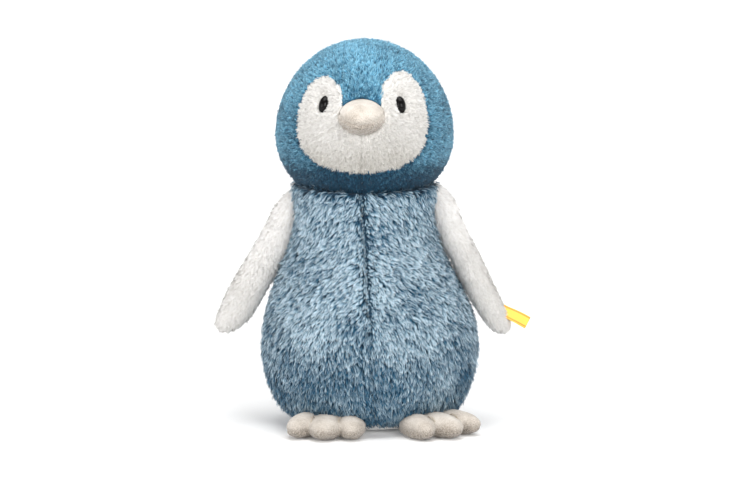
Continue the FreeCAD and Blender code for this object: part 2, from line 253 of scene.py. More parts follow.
def cloth_material(name, shadow, base, pale, grain, bump, sheen=0.3, roughness=0.9, painted_shade_heights=None):
    """Napped or woven cloth: mottled colour, with a fine raised grain of about grain metres.

    The last argument gives two heights: painted shade darkens the nap below the first, and is gone above the
    second.
    """
    material, tree, shader = new_material(name)
    where = tree.nodes.new("ShaderNodeTexCoord")
    fine = node(tree, "ShaderNodeTexNoise", Scale=1 / grain, Detail=4.0, Roughness=0.65)
    broad = node(tree, "ShaderNodeTexNoise", Scale=1 / (grain * 14), Detail=3.0, Roughness=0.6)
    for noise in (fine, broad):
        tree.links.new(where.outputs["Object"], noise.inputs["Vector"])
    blend = tree.nodes.new("ShaderNodeMath")
    blend.operation = "ADD"
    tree.links.new(fine.outputs["Fac"], blend.inputs[0])
    tree.links.new(broad.outputs["Fac"], blend.inputs[1])
    half = tree.nodes.new("ShaderNodeMath")
    half.operation = "MULTIPLY"
    half.inputs[1].default_value = 0.5
    tree.links.new(blend.outputs[0], half.inputs[0])
    colour = ramp(tree, half.outputs[0], [(0.34, shadow), (0.5, base), (0.64, pale)])
    # Painted shade low on the piece: below the first height the nap turns to a darker colour, and above the
    # second it keeps its own.
    if painted_shade_heights is not None:
        parts = tree.nodes.new("ShaderNodeSeparateXYZ")
        tree.links.new(where.outputs["Object"], parts.inputs[0])
        unshaded = node(tree, "ShaderNodeMapRange")
        unshaded.inputs["From Min"].default_value, unshaded.inputs["From Max"].default_value = painted_shade_heights
        tree.links.new(parts.outputs["Z"], unshaded.inputs["Value"])
        dark = ramp(tree, fine.outputs["Fac"], [(0.38, srgb(84, 75, 66)), (0.62, srgb(178, 168, 156))])
        colour = mixed(tree, unshaded.outputs["Result"], dark, colour)
    tree.links.new(colour, shader.inputs["Base Color"])
    raised = node(tree, "ShaderNodeBump", Strength=bump, Distance=grain * 0.4)
    tree.links.new(fine.outputs["Fac"], raised.inputs["Height"])
    tree.links.new(raised.outputs["Normal"], shader.inputs["Normal"])
    shader.inputs["Roughness"].default_value = roughness
    shader.inputs["Specular IOR Level"].default_value = 0.2
    shader.inputs["Sheen Weight"].default_value = sheen
    shader.inputs["Sheen Roughness"].default_value = 0.5
    return material


def eye_material():
    """Polished black plastic with a faint smoky depth and hairline wear."""
    material, tree, shader = new_material("eye_gloss")
    where = tree.nodes.new("ShaderNodeTexCoord")
    noise = node(tree, "ShaderNodeTexNoise", Scale=900.0, Detail=3.0, Roughness=0.6)
    tree.links.new(where.outputs["Object"], noise.inputs["Vector"])
    colour = ramp(tree, noise.outputs["Fac"], [(0.3, srgb(3, 3, 4)), (0.7, srgb(14, 12, 11))])
    tree.links.new(colour, shader.inputs["Base Color"])
    wear = tree.nodes.new("ShaderNodeMapRange")
    wear.inputs["To Min"].default_value = 0.04
    wear.inputs["To Max"].default_value = 0.1
    tree.links.new(noise.outputs["Fac"], wear.inputs["Value"])
    tree.links.new(wear.outputs["Result"], shader.inputs["Roughness"])
    shader.inputs["Specular IOR Level"].default_value = 0.16
    return material


def ribbon_material():
    """Yellow satin ribbon with a fine rib across it and a thin orange line woven along each edge."""
    material, tree, shader = new_material("yellow_ribbon")
    uv = tree.nodes.new("ShaderNodeUVMap")
    uv.uv_map = "OFBake"
    parts = tree.nodes.new("ShaderNodeSeparateXYZ")
    tree.links.new(uv.outputs["UV"], parts.inputs[0])
    yellow, orange = srgb(250, 214, 96), srgb(232, 128, 44)
    edges = ramp(tree, parts.outputs["X"], [
        (0.0, yellow), (0.07, yellow), (0.09, orange), (0.15, orange), (0.17, yellow),
        (0.83, yellow), (0.85, orange), (0.91, orange), (0.93, yellow)])
    ribs = node(tree, "ShaderNodeTexWave", Scale=38.0, Distortion=0.4, Detail=1.0)
    ribs.bands_direction = "Y"
    tree.links.new(uv.outputs["UV"], ribs.inputs["Vector"])
    worn = ramp(tree, ribs.outputs["Fac"], [(0.0, srgb(236, 190, 70)), (1.0, srgb(255, 226, 120))])
    mix = tree.nodes.new("ShaderNodeMix")
    mix.data_type = "RGBA"
    mix.blend_type = "MULTIPLY"
    mix.inputs["Factor"].default_value = 0.35
    colours = [s for s in mix.inputs if s.type == "RGBA"]
    tree.links.new(edges, colours[0])
    tree.links.new(worn, colours[1])
    tree.links.new([s for s in mix.outputs if s.type == "RGBA"][0], shader.inputs["Base Color"])
    raised = node(tree, "ShaderNodeBump", Strength=0.4, Distance=0.0002)
    tree.links.new(ribs.outputs["Fac"], raised.inputs["Height"])
    tree.links.new(raised.outputs["Normal"], shader.inputs["Normal"])
    shader.inputs["Roughness"].default_value = 0.5
    return material


BLUE_SKIN = cloth_material("blue_backing", srgb(16, 34, 48), srgb(28, 52, 70), srgb(46, 78, 98),
                           0.0006, 0.5)
CROWN_SKIN = cloth_material("crown_backing", srgb(20, 62, 88), srgb(40, 92, 124), srgb(64, 120, 152),
                            0.0006, 0.5)
WHITE_SKIN = cloth_material("white_backing", srgb(222, 218, 210), srgb(238, 235, 230), srgb(246, 244, 241),
                            0.0006, 0.4)
BEIGE = (srgb(166, 155, 142), srgb(200, 191, 180), srgb(218, 211, 202))
# The beak around and below its mouth seam and the feet low down get painted shade on their nap.
BEAK_VELOUR = cloth_material("beak_velour", *BEIGE, 0.0009, 0.9, painted_shade_heights=(MOUTH_Z - 3 * MM, MOUTH_Z + 8 * MM))
FOOT_VELOUR = cloth_material("foot_velour", *BEIGE, 0.0009, 0.9, painted_shade_heights=(5 * MM, 14 * MM))
FIBRE = cloth_material("fibre_filling", srgb(214, 214, 212), srgb(236, 236, 234), srgb(250, 250, 249),
                       0.003, 0.8)
POUCH = cloth_material("pouch_cotton", srgb(206, 200, 188), srgb(226, 221, 210), srgb(238, 234, 226),
                       0.0008, 0.6)
PELLETS = cloth_material("pellets", srgb(190, 194, 198), srgb(218, 221, 224), srgb(236, 238, 240),
                         0.003, 1.0, 0.0, 0.45)
WASHER = cloth_material("washer_plastic", srgb(222, 221, 216), srgb(232, 231, 227), srgb(240, 239, 236),
                        0.001, 0.1, 0.0, 0.4)
BLUE_THREAD = cloth_material("blue_thread", srgb(24, 44, 60), srgb(40, 66, 86), srgb(70, 98, 118),
                             0.0005, 0.7)
WHITE_THREAD = cloth_material("white_thread", srgb(206, 204, 198), srgb(230, 228, 223), srgb(244, 243, 240),
                              0.0005, 0.7)
BEIGE_THREAD = cloth_material("beige_thread", srgb(150, 138, 122), srgb(176, 164, 148), srgb(196, 186, 170),
                              0.0005, 0.7)

# Each pile's dark strand is both its darker dyed strand, for strand-to-strand contrast, and the painted shade
# that the skins' shading picks by place, such as under the chin.
BODY_HAIR = hair_material(
    "body_pile",
    [(0.0, srgb(5, 22, 36)), (0.45, srgb(16, 50, 74)), (0.8, srgb(38, 94, 126)), (1.0, srgb(64, 124, 154))],
    [(0.0, srgb(20, 52, 72)), (0.3, srgb(96, 140, 166)), (0.6, srgb(182, 212, 228)),
     (1.0, srgb(232, 243, 249))])
HEAD_HAIR = hair_material(
    "head_pile",
    [(0.0, srgb(2, 20, 32)), (0.45, srgb(6, 42, 62)), (1.0, srgb(16, 74, 102))],
    [(0.0, srgb(20, 78, 108)), (0.35, srgb(94, 168, 204)), (1.0, srgb(164, 220, 242))])
# The dark white strand mostly serves painted shade, picked towards the chin and over the eyes; strand-to-strand
# contrast reaches only a little of it.
WHITE_HAIR = hair_material(
    "white_pile",
    [(0.0, srgb(158, 153, 144)), (0.5, srgb(184, 180, 172)), (1.0, srgb(202, 199, 192))],
    [(0.0, srgb(238, 235, 230)), (0.5, srgb(250, 248, 246)), (1.0, srgb(254, 253, 251))])


# ---------------------------------------------------------------- pile
ABOVE_FLOOR = 0.6 * MM          # no strand reaches lower
ROOT_DEPTH = 0.3 * MM           # below the skin
PATCH_SIZE = 0.022              # of the paler and darker patches


def scatter(rng, obj, per_mm2, keep):
    """Random points of a mesh's surface with their normals, where keep(points, normals) is true."""
    mesh = obj.data
    mesh.calc_loop_triangles()
    corner = np.empty(len(mesh.loop_triangles) * 3, np.int64)
    mesh.loop_triangles.foreach_get("vertices", corner)
    corner = corner.reshape(-1, 3)
    points, normals = coordinates(mesh), coordinates(mesh, "normal")
    a, b, c = (points[corner[:, i]] for i in range(3))
    area = np.linalg.norm(np.cross(b - a, c - a), axis=1) / 2
    count = int(area.sum() / MM ** 2 * per_mm2)
    chosen = rng.choice(len(area), count, p=area / area.sum())
    share = rng.random((count, 2))
    folded = share.sum(1) > 1
    share[folded] = 1 - share[folded]
    weights = np.column_stack([1 - share.sum(1), share])
    where = (points[corner[chosen]] * weights[:, :, None]).sum(1)
    facing = unit((normals[corner[chosen]] * weights[:, :, None]).sum(1))
    kept = keep(where, facing)
    return where[kept], facing[kept]


def tufts(rng, points, size):
    """Sorts points into tufts about size metres across: each point's tuft, and how many tufts there are."""
    warped = points + 0.6 * size * np.column_stack([waves(points, size * 3, s) for s in (1, 2, 3)])
    cell = np.floor(warped / size + rng.random(3)).astype(np.int64)
    key = cell @ np.array([73856093, 19349663, 83492791])
    _, tuft = np.unique(key, return_inverse=True)
    return tuft, tuft.max() + 1


def tuft_mean(values, tuft, count):
    weight = np.maximum(np.bincount(tuft, minlength=count), 1)
    return np.column_stack([np.bincount(tuft, values[:, i], count) / weight for i in range(3)])


def grow(name, skin, material, comb, keep, seed, per_mm2, length, width, lift, tuft_size, gather,
         spread, patch, contrast, shorten, tone):
    """Grows pile on a skin as flat tapered strands.

    comb gives the direction that the pile lies in, keep where it grows, lift the angle of root and tip
    above the skin in radians, gather how far the strands of a tuft lean together, spread how much their
    direction varies, patch how strongly the shade varies in patches, and contrast from strand to strand.
    shorten scales the length and tone shifts the shade, by place; tone paints in light and shade.
    """
    rng = np.random.default_rng(seed)
    root, normal = scatter(rng, skin, per_mm2, keep)
    count = len(root)
    along = comb(root, normal)
    along = unit(along - normal * (along * normal).sum(1, keepdims=True))
    side = np.cross(along, normal)
    tuft, tuft_count = tufts(rng, root, tuft_size)
    turn = (rng.normal(size=tuft_count) * spread)[tuft] + rng.normal(size=count) * spread * 0.6
    lie = along * np.cos(turn)[:, None] + side * np.sin(turn)[:, None]
    size = length * (1 + 0.16 * rng.normal(size=tuft_count)[tuft] + 0.12 * rng.normal(size=count))
    size = np.clip(size, 0.45 * length, 1.45 * length)
    size *= shorten(root)
    rise = rng.normal(size=tuft_count)[tuft] * 0.12 + rng.normal(size=count) * 0.1
    steps = [(0.38, lift[0]), (0.34, (lift[0] + lift[1]) / 2), (0.28, lift[1])]
    line = [root - normal * ROOT_DEPTH]
    for share, angle in steps:
        tilt = (angle + rise)[:, None]
        step = lie * np.cos(tilt) + normal * np.sin(tilt)
        line.append(line[-1] + (size * share)[:, None] * step)
    for i, pull in ((1, 0.25), (2, 0.6), (3, 1.0)):
        centre = tuft_mean(line[i], tuft, tuft_count)[tuft]
        line[i] = line[i] + (centre - line[i]) * gather * pull
        line[i][:, 2] = np.maximum(line[i][:, 2], ABOVE_FLOOR)
    roll = rng.normal(size=count) * 0.45
    flat = unit(np.cross(lie, normal)) * np.cos(roll)[:, None] + normal * np.sin(roll)[:, None]
    half = (width / 2 * (1 + 0.2 * rng.normal(size=count)))[:, None] * flat
    rows = [line[0] - half * 0.8, line[0] + half * 0.8, line[1] - half, line[1] + half,
            line[2] - half * 0.75, line[2] + half * 0.75, line[3]]
    points = np.stack(rows, axis=1).reshape(-1, 3)
    shade = 0.5 + contrast(root) * (rng.normal(size=tuft_count)[tuft] + 0.8 * rng.normal(size=count))
    # tone(root) is painted light and shade by place, added to each strand's shade.
    shade = shade + patch * waves(root, PATCH_SIZE, 7) + tone(root)
    facing = unit(normal + 0.22 * rng.normal(size=(count, 3)) + 0.25 * lie)
    return strand_mesh(name, points, np.clip(shade, 0.01, 0.99), facing, material)


def strand_mesh(name, points, shade, facing, material):
    """A mesh of strands, seven points each: two quads and a tip, with shade and root-to-tip as its UV map."""
    count = len(shade)
    start = np.arange(count)[:, None] * 7
    pattern = np.array([0, 1, 3, 2, 2, 3, 5, 4, 4, 5, 6])
    loops = (start + pattern).ravel()
    sizes = np.tile([4, 4, 3], count)
    starts = np.concatenate([[0], np.cumsum(sizes)[:-1]])
    mesh = bpy.data.meshes.new(name)
    mesh.vertices.add(count * 7)
    mesh.vertices.foreach_set("co", points.astype(np.float32).ravel())
    mesh.loops.add(len(loops))
    mesh.loops.foreach_set("vertex_index", loops.astype(np.int32))
    mesh.polygons.add(count * 3)
    mesh.polygons.foreach_set("loop_start", starts.astype(np.int32))
    mesh.polygons.foreach_set("loop_total", sizes.astype(np.int32))
    mesh.update(calc_edges=True)
    mesh.shade_smooth()
    height = np.array([0, 0, 0.38, 0.38, 0.72, 0.72, 1.0])[pattern] * 0.98 + 0.01
    uv = np.column_stack([np.repeat(shade, len(pattern)), np.tile(height, count)])
    layer = mesh.uv_layers.new(name="OFBake")
    layer.data.foreach_set("uv", uv.astype(np.float32).ravel())
    mesh.normals_split_custom_set_from_vertices(np.repeat(facing, 7, axis=0).tolist())
    return add_object(name, mesh, material)


# ---------------------------------------------------------------- torso
def seam_x(z):
    """The front seam runs to the penguin's left on its way down."""
    return HEAD_CENTRE[0] + 10 * MM * smoothstep(NECK_Z + 0.03, 0.02, z)


def comb_torso(points, normals):
    from_seam = points[:, 0] - seam_x(points[:, 2])
    front = smoothstep(0.02, -0.02, points[:, 1])
    outward = np.sign(from_seam) * (0.25 + 0.75 * np.exp(-np.abs(from_seam) / 0.045)) * front
    outward *= smoothstep(0.06, 0.11, points[:, 2])
    sway = 0.3 * waves(points, 0.045, 11)
    return np.column_stack([outward + sway, np.zeros(len(points)), -np.ones(len(points))])


def even(value):
    """The same value everywhere on a skin."""
    return lambda points: np.full(len(points), value)


def torso_painted_shading(points):
    """Painted shade, darker under the chin and low down, and painted light, paler over the belly and chest."""
    z = points[:, 2]
    collar = smoothstep(NECK_Z - 0.012, NECK_Z, z)
    low = smoothstep(0.09, 0.03, z) + 0.6 * smoothstep(0.025, 0.0, z)
    belly = np.exp(-((z - 0.115) / 0.045) ** 2) * smoothstep(0.0, -0.05, points[:, 1])
    chest = smoothstep(0.11, 0.15, z) * smoothstep(0.0, -0.03, points[:, 1])
    return 0.12 + 0.1 * belly + 0.08 * chest - 0.42 * collar - 0.4 * low


def torso_contrast(points):
    """Pale tips stand out most near the neck, and blend in low down."""
    return 0.22 + 0.26 * smoothstep(0.04, 0.12, points[:, 2])


def torso_short(points):
    """Pile is shorter along the upper front seam, and where the body curves under to its base."""
    away = np.abs(points[:, 0] - seam_x(points[:, 2])) / MM
    deep = smoothstep(0.07, 0.11, points[:, 2]) * (points[:, 1] < 0)
    under = 0.5 + 0.5 * smoothstep(0.004, 0.022, points[:, 2])
    return under * (1 - 0.6 * deep * np.exp(-(away / 3.2) ** 2))


def torso_outward(points, normals):
    axis = np.column_stack([points[:, :2], (points[:, 2] - 0.07) * 0.35])
    return (unit(axis) * normals).sum(1) > 0.25


def pull_seam(obj):
    """Draws the skin in along the front seam."""
    points = coordinates(obj.data)
    away = (points[:, 0] - seam_x(points[:, 2])) / MM
    front = points[:, 1] < 0
    depth = 2.6 * MM * smoothstep(0.07, 0.12, points[:, 2]) * np.exp(-(away / 5.0) ** 2) * front
    points[:, 1] += depth
    points += unit(points * [1, 1, 0]) * (waves(points, 0.06, 5) * 0.8 * MM)[:, None]
    move_points(obj, points)


def lift_front(obj):
    """Curves the belly's lower front edge up from the floor, between the feet."""
    points = coordinates(obj.data)
    share = smoothstep(-0.012, -0.038, points[:, 1]) * smoothstep(0.024, 0.0, points[:, 2])
    points[:, 2] += 4 * MM * share
    move_points(obj, points)


def make_torso():
    for place, side in [(p, s) for p in ("belly", "back") for s in SIDES]:
        panel = "%s_panel_%s" % (place, side)
        skin = soft_copy("%s_skin_%s" % (place, side), [panel], 1.6 * MM, 4, BLUE_SKIN)
        pull_seam(skin)
        lift_front(skin)
        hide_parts(panel)
        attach(skin, "torso")
        seed = 100 + len(panel) * 3 + SIDES[side]
        hair = grow("%s_pile_%s" % (place, side), skin, BODY_HAIR, comb_torso, torso_outward, seed,
                    1.9, 6.4 * MM, 0.56 * MM, (0.85, 0.25), 1.5 * MM, 0.4, spread=0.3, patch=0.28,
                    contrast=torso_contrast, shorten=torso_short, tone=torso_painted_shading)
        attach(hair, "torso")
    base = soft_copy("base_skin", ["base_panel"], 1.2 * MM, 2, BLUE_SKIN)
    lift_front(base)
    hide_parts("base_panel")
    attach(base, "torso")


# ---------------------------------------------------------------- head
EYES = {side: (np.array(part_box("eye_" + side)[0]) + np.array(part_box("eye_" + side)[1])) / 2 for side in SIDES}
EYE_OUT = {side: unit(EYES[side] - HEAD_CENTRE) for side in SIDES}
EYE_SPOT = {side: HEAD_CENTRE + EYE_OUT[side] * HEAD_R for side in SIDES}


def dent_eyes(obj):
    """Presses the skin in round each eye, a little more above it."""
    points = coordinates(obj.data)
    for side in SIDES:
        offset = points - EYE_SPOT[side] - np.array([0, 0, 2.0 * MM])
        distance = np.linalg.norm(offset * [1, 1, 0.75], axis=1)
        points -= EYE_OUT[side] * (2.6 * MM * np.exp(-(distance / (8 * MM)) ** 2))[:, None]
    move_points(obj, points)


def comb_face(points, normals):
    away = points - (BEAK_CENTRE + np.array([0, 0, 2 * MM]))
    return unit(away) + np.array([0, 0, -0.35])


def comb_head(points, normals):
    away = unit(points - (BEAK_CENTRE + np.array([0, 0, -6 * MM])))
    back = smoothstep(-0.02, 0.03, points[:, 1])[:, None]
    low = smoothstep(0.0, -0.05, points[:, 2] - HEAD_CENTRE[2])[:, None]
    down = np.array([0, 0, -1.0])
    sway = 0.2 * np.column_stack([waves(points, 0.05, s) for s in (21, 22, 23)])
    return away * (1 - back) + down * np.maximum(back, 0.6 * low) + sway


def head_painted_shading(points):
    """Painted light, pale over the crown, and painted shade, dark under the chin and a little below the head's
    middle.
    """
    z = points[:, 2] - HEAD_CENTRE[2]
    chin = smoothstep(-0.010, -0.032, z) * smoothstep(0.03, -0.03, points[:, 1])
    return 0.25 * smoothstep(0.035, 0.065, z) - 0.75 * chin - 0.08 * smoothstep(0.02, -0.03, z)


def face_painted_shading(points):
    """Painted light, whitest on the lobes, and painted shade, greyer towards the chin and in the dents over the
    eyes.
    """
    z = points[:, 2] - HEAD_CENTRE[2]
    tone = 0.08 * smoothstep(0.0, 0.03, z) - 0.38 * smoothstep(0.008, -0.018, z)
    for side in SIDES:
        over_eye = EYE_SPOT[side] + np.array([-SIDES[side] * 1 * MM, 0, 8 * MM])
        tone -= 0.7 * np.exp(-(np.linalg.norm(points - over_eye, axis=1) / (3.5 * MM)) ** 2)
    return tone


FACE_POINTS = [v.co.copy() for side in SIDES for v in frame["nodes"]["face_panel_" + side].data.vertices]


def face_distance(points):
    """How far each point is from the white face panels."""
    tree = KDTree(len(FACE_POINTS))
    for index, place in enumerate(FACE_POINTS):
        tree.insert(place, index)
    tree.balance()
    return np.array([tree.find(point)[2] for point in points])


def blue_painted_shading(points):
    """The head's painted light and shade, with a painted shadow along the edge where the blue pile meets the
    white face, low on the head.
    """
    low = smoothstep(0.035, 0.0, points[:, 2] - HEAD_CENTRE[2])
    return head_painted_shading(points) - 0.3 * low * np.exp(-(face_distance(points) / (2.5 * MM)) ** 2)


def head_keep(points, normals):
    """The outside of the head, but not under the beak or the eyes."""
    out = (unit(points - HEAD_CENTRE) * normals).sum(1) > 0.3
    beak = (points - BEAK_CENTRE) / BEAK_HALF
    under_beak = (beak[:, 0] ** 2 + beak[:, 2] ** 2 < 1.0) & (points[:, 1] < 0)
    for side in SIDES:
        offset = points - EYE_SPOT[side]
        under_beak |= np.hypot(np.hypot(offset[:, 0], offset[:, 1]) / 4.4, offset[:, 2] / 6.2) < MM
    return out & ~under_beak


def short_near_features(points):
    """Pile is shorter round the eyes and beside the beak."""
    size = np.ones(len(points))
    for side in SIDES:
        distance = np.linalg.norm(points - EYE_SPOT[side], axis=1) / MM
        size -= 0.45 * np.exp(-(distance / 8) ** 2)
    beak = np.hypot(points[:, 0] - BEAK_CENTRE[0], points[:, 2] - BEAK_CENTRE[2]) / MM
    return size * np.where(points[:, 1] < 0, 1 - 0.4 * np.exp(-(np.maximum(beak - 15, 0) / 5) ** 2), 1)


def make_head():
    for node_name in HEAD_NODES:
        white = node_name.startswith("face")
        label = node_name.replace("_panel", "_skin").replace("gusset", "skin")
        voxel, rounds = (0.9 * MM, 2) if white else (1.3 * MM, 3)
        skin = soft_copy(label, [node_name], voxel, rounds, WHITE_SKIN if white else CROWN_SKIN)
        dent_eyes(skin)
        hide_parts(node_name)
        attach(skin, "head")
        seed = 300 + 11 * HEAD_NODES.index(node_name)
        if white:
            hair = grow(label.replace("skin", "pile"), skin, WHITE_HAIR, comb_face, head_keep, seed,
                        3.4, 3.8 * MM, 0.45 * MM, (0.6, 0.15), 1.2 * MM, 0.2, spread=0.5, patch=0.08,
                        contrast=even(0.05), shorten=short_near_features, tone=face_painted_shading)
        else:
            hair = grow(label.replace("skin", "pile"), skin, HEAD_HAIR, comb_head, head_keep, seed,
                        2.0, 4.0 * MM, 0.48 * MM, (0.55, 0.15), 1.3 * MM, 0.3, spread=0.5, patch=0.12,
                        contrast=even(0.16), shorten=short_near_features, tone=blue_painted_shading)
        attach(hair, "head")


def dome(name, centre, out, radii, material):
    """Half an ellipsoid that stands on its flat back, its long radius upward."""
    across = unit(np.cross([0, 0, 1], out))
    up = np.cross(out, across)
    rings, around = 14, 40
    points = []
    for i in range(rings):
        angle = math.pi / 2 * i / rings
        for j in range(around):
            turn = 2 * math.pi * j / around
            flat = across * math.cos(turn) * radii[0] + up * math.sin(turn) * radii[2]
            points.append(centre + flat * math.cos(angle) + out * math.sin(angle) * radii[1])
    points += [centre, centre + out * radii[1]]
    return mesh_from(name, points, closed_tube_faces(rings, around), material)


def make_eyes():
    material = eye_material()
    for side in SIDES:
        seat = HEAD_CENTRE + EYE_OUT[side] * (HEAD_R - 2.5 * MM)
        eye = dome("eye_dome_" + side, seat, EYE_OUT[side], (4.2 * MM, 4.4 * MM, 7.0 * MM), material)
        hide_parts("eye_" + side)
        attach(eye, "head")


MOUTH_BOW = 22                  # how the mouth seam curves up to its ends, per metre
MOUTH_DEPTH = 0.8 * MM
MOUTH_HALF_WIDTH = 1.3 * MM
NAP_HEIGHT = 1.1 * MM
NAP_SIZE = 0.0026


def shape_beak(obj):
    """A soft pinch at the mouth seam, and crumpled nap from just above it down."""
    points = coordinates(obj.data)
    out = unit(points - BEAK_CENTRE)
    bow = MOUTH_Z + MOUTH_BOW * (points[:, 0] - BEAK_CENTRE[0]) ** 2
    seam = np.exp(-((points[:, 2] - bow) / MOUTH_HALF_WIDTH) ** 2)
    crumpled = smoothstep(MOUTH_Z + 8 * MM, MOUTH_Z + 2 * MM, points[:, 2])
    bumps = (0.5 + 0.5 * waves(points, NAP_SIZE, 31)) * NAP_HEIGHT * (0.1 + crumpled)
    points += out * (bumps * (1 - seam) - seam * MOUTH_DEPTH)[:, None]
    move_points(obj, points)


def make_beak():
    skin = soft_copy("beak_skin", ["beak_upper", "beak_lower"], 0.8 * MM, 3, BEAK_VELOUR)
    shape_beak(skin)
    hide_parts("beak_upper", "beak_lower")
    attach(skin, "head")


# ---------------------------------------------------------------- wings
def wing_direction(side):
    """The wing's pivot, the directions to its tip and to its outer edge, and its length.

    The first guess points at the lowest spot, and each round turns it to the middle of the wing.
    """
    pivot = np.array(JOINTS["wing_lift_" + side]["pos_m"])
    nodes = ["wing_front_" + side, "wing_back_" + side]
    points = np.concatenate([coordinates(frame["nodes"][name].data) for name in nodes])
    tip = points[np.argmin(points[:, 2])]
    along = unit((tip - pivot) * [1, 0, 1])
    for _ in range(4):
        across = np.array([-along[2] * SIDES[side], 0, along[0] * SIDES[side]])
        far = points[(points - pivot) @ along > 0.03]
        edges = (far - pivot) @ across
        along = unit(along + across * (edges.max() + edges.min()) / 2 / 0.065)
    outer = np.array([-along[2] * SIDES[side], 0, along[0] * SIDES[side]])
    return pivot, along, outer, ((points - pivot) @ along).max()


# Each wing's sections beyond the pivot, in millimetres: place along the wing, sideways shift,
# half width and half thickness.
WING_SECTIONS = {
    "left": [(9, -1.2, 10.2, 8.6), (21, -1.8, 10.2, 9.0), (37, -0.8, 9.6, 9.2), (60, -1.6, 10.2, 9.2),
             (80, -1.2, 9.8, 8.6), (91, -0.6, 8.8, 7.6), (97, 0.2, 6.8, 5.8), (101, 0.8, 3.8, 3.4)],
    "right": [(9, -1.8, 12.2, 8.0), (19, -3.0, 13.0, 8.2), (34, -1.0, 11.6, 8.2), (50, -1.3, 12.5, 8.2),
              (72, -1.5, 12.4, 8.0), (88, -1.2, 11.2, 7.2), (97, 0.2, 8.8, 5.6), (102, 1.0, 5.4, 3.4)],
}


def wing_mesh(name, side, material):
    """A stuffed wing: its root rises to the neck along the side seam, and its tip is rounded."""
    pivot, along, outer, reach = wing_direction(side)
    inward, up = np.array([-SIDES[side], 0, 0]) * MM, np.array([0, 0, MM])
    first_wide, first_thick = WING_SECTIONS[side][0][2:]
    line = [(pivot + inward * 8 + up * 21, 3.0, 3.0), (pivot + inward * 6 + up * 16, 6.5, 5.0),
            (pivot + inward * 2.5 + up * 8, 9.8, 7.0), (pivot, (11 + first_wide) / 2, first_thick)]
    for place, shift, wide, thick in WING_SECTIONS[side]:
        line.append((pivot + along * place * MM + outer * shift * MM, wide, thick))
    around = 28
    points = []
    for centre, wide, thick in line:
        for j in range(around):
            turn = 2 * math.pi * j / around
            across = outer * math.cos(turn) * wide * MM
            points.append(centre + across + np.array([0, math.sin(turn) * thick * MM, 0]))
    points += [line[0][0] + up * 1.5, pivot + along * reach + outer * 1.5 * MM]
    faces = closed_tube_faces(len(line), around)
    if SIDES[side] > 0:
        faces = [tuple(reversed(face)) for face in faces]
    obj = mesh_from(name, points, faces, material)
    rounded = obj.modifiers.new("round", "SUBSURF")
    rounded.levels = rounded.render_levels = 2
    apply_modifiers(obj)
    return obj


def wing_painted_shading(points):
    """Painted light, brightest on the shoulder."""
    return 0.15 + 0.3 * smoothstep(0.12, 0.17, points[:, 2])


def make_wing(side):
    pivot, along, outer, reach = wing_direction(side)
    skin = wing_mesh("wing_skin_" + side, side, WHITE_SKIN)
    points = coordinates(skin.data)
    normals = coordinates(skin.data, "normal")
    place = (points - pivot) @ along
    crease = 1.5 * MM * np.exp(-((place - 13 * MM) / (4 * MM)) ** 2) * smoothstep(0.0, -0.005, points[:, 1])
    points += normals * (waves(points, 0.03, 41 + SIDES[side]) * 0.8 * MM - crease)[:, None]
    move_points(skin, points)

    def comb(where, facing):
        edge = ((where - pivot) @ outer)[:, None] / (14 * MM)
        sway = 0.15 * np.column_stack([waves(where, 0.03, s) for s in (51, 52, 53)])
        return along + outer * edge * 0.45 + sway

    def keep(where, facing):
        return np.ones(len(where), bool)

    hair = grow("wing_pile_" + side, skin, WHITE_HAIR, comb, keep, 500 + SIDES[side],
                3.2, 3.8 * MM, 0.45 * MM, (0.6, 0.15), 1.2 * MM, 0.3, spread=0.35, patch=0.08,
                contrast=even(0.05), shorten=even(1.0), tone=wing_painted_shading)
    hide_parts("wing_front_" + side, "wing_back_" + side, "wing_filling_" + side)
    for piece in (skin, hair):
        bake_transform(piece)


def ribbon_frame(node_name, hinge):
    """A flat CAD ribbon's length and width directions, its reach from its hinge, and its middle."""
    mesh = frame["nodes"][node_name].data
    points = coordinates(mesh)
    face = np.array(max(mesh.polygons, key=lambda p: p.area).normal)
    ends = [p for p in mesh.polygons if abs(np.array(p.normal) @ face) < 0.1]
    last = max(ends, key=lambda p: (np.array(p.center) - hinge) @ np.array(p.normal))
    along = np.array(last.normal)
    across = np.cross(face, along)
    across = across * np.sign(across[2])
    edges = points @ across
    middle = hinge + across * ((edges.max() + edges.min()) / 2 - hinge @ across)
    return along, across, ((points - hinge) @ along).max(), middle


LABEL_WIDTH = 10 * MM
LABEL_FOLD = 0.55 * MM          # half the folded ribbon's thickness at its outer end
LABEL_SEWN = 3 * MM             # length inside the seam
LABEL_CURL = 1.6 * MM


def make_label():
    """A woven ribbon folded in two at its outer end, sewn into the wing's edge."""
    hinge = np.array(JOINTS["label_flex"]["pos_m"])
    along, across, reach, hinge = ribbon_frame("woven_label", hinge)
    face = np.cross(along, across)
    reach = reach + LABEL_SEWN - LABEL_FOLD
    lengths = [i / 12 for i in range(13)]
    path = [(s * reach - LABEL_SEWN, -LABEL_FOLD * (0.4 + 0.6 * s)) for s in lengths]
    for i in range(1, 8):
        turn = math.pi * (i / 8 - 0.5)
        path.append((reach - LABEL_SEWN + LABEL_FOLD * math.cos(turn), LABEL_FOLD * math.sin(turn)))
    path += [(s * reach - LABEL_SEWN, LABEL_FOLD * (0.4 + 0.6 * s)) for s in reversed(lengths)]
    columns = 9
    points, faces = [], []
    for distance, offset in path:
        curl = LABEL_CURL * math.sin(max(distance, 0) / reach * 2.2)
        for j in range(columns):
            share = j / (columns - 1) - 0.5
            place = hinge + along * distance + across * share * LABEL_WIDTH
            points.append(place + face * (offset + curl * (1 + share)))
    for i in range(len(path) - 1):
        for j in range(columns - 1):
            a = i * columns + j
            faces.append((a, a + 1, a + columns + 1, a + columns))
    label = mesh_from("label_ribbon", points, faces, ribbon_material())
    layer = label.data.uv_layers.new(name="OFBake")
    for loop in label.data.loops:
        row, column = divmod(loop.vertex_index, columns)
        layer.data[loop.index].uv = (column / (columns - 1), row / (len(path) - 1))
    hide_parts("woven_label")
    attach(label, "label")


